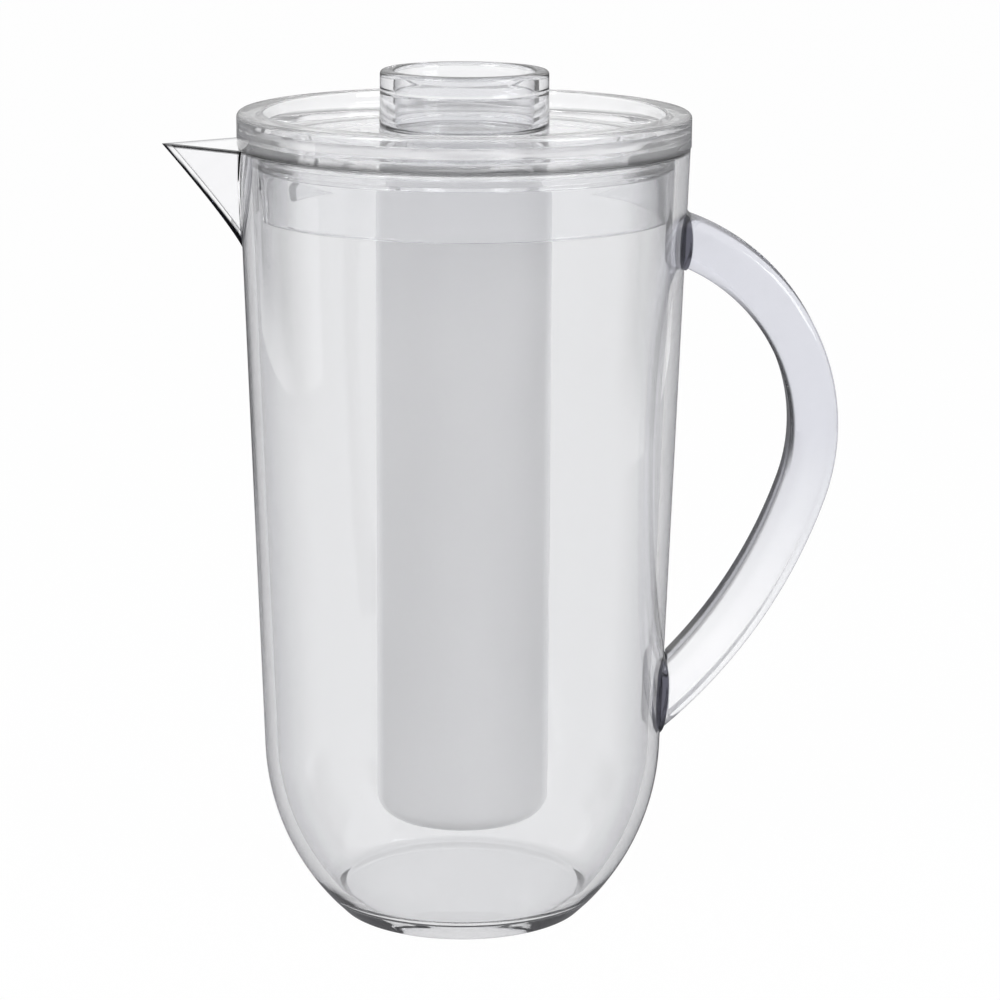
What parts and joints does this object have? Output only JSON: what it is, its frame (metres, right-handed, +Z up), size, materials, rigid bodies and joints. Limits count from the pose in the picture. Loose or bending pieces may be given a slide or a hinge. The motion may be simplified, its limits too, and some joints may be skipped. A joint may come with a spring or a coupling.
{
  "type": "pitcher",
  "caption": "Clear lidded pitcher with a bonded beak spout, a bow handle and a chiller core that hangs under the lid and closes with a cup-shaped knob.",
  "frame": {"origin": "middle of the jug's flat foot, where its axis meets the table", "axes": "+Z up along the jug's axis, the beak points along -X and the handle along +X"},
  "size_m": [0.2142, 0.1426, 0.273],
  "materials": {
    "clear_acrylic": "polished clear acrylic",
    "handle_acrylic": "polished clear acrylic, seen thick",
    "frosted_acrylic": "satin translucent acrylic",
    "silicone": "clear silicone"
  },
  "bodies": {
    "jug": {"jug_body": "clear_acrylic", "pour_spout": "clear_acrylic", "handle": "handle_acrylic"},
    "seal_ring": {"lid_seal": "silicone"},
    "lid": {"lid": "clear_acrylic"},
    "gasket": {"core_gasket": "silicone"},
    "core": {"core_tube": "frosted_acrylic"},
    "washer": {"cap_washer": "silicone"},
    "cap": {"knob_cap": "clear_acrylic"}
  },
  "joints": [
    {"name": "lid_lift", "type": "slide", "parent": "jug", "child": "seal_ring", "axis": [0, 0, 1], "range_m": [0, 0.24]},
    {"name": "lid_turn", "type": "hinge", "parent": "seal_ring", "child": "lid", "pos_m": [0, 0, 0.2445], "axis": [0, 0, 1], "continuous": true},
    {"name": "core_drop", "type": "slide", "parent": "lid", "child": "gasket", "axis": [0, 0, -1], "range_m": [0, 0.0111]},
    {"name": "core_turn", "type": "hinge", "parent": "gasket", "child": "core", "pos_m": [0, 0, 0.241], "axis": [0, 0, -1], "range_deg": [0, 990]},
    {"name": "cap_lift", "type": "slide", "parent": "lid", "child": "washer", "axis": [0, 0, 1], "range_m": [0, 0.0061]},
    {"name": "cap_turn", "type": "hinge", "parent": "washer", "child": "cap", "pos_m": [0, 0, 0.25], "axis": [0, 0, 1], "range_deg": [0, 720]}
  ],
  "couplings": [
    {"joint": "core_drop", "follows": "core_turn", "m_per_rad": 0.00063662},
    {"joint": "cap_lift", "follows": "cap_turn", "m_per_rad": 0.00047746}
  ]
}
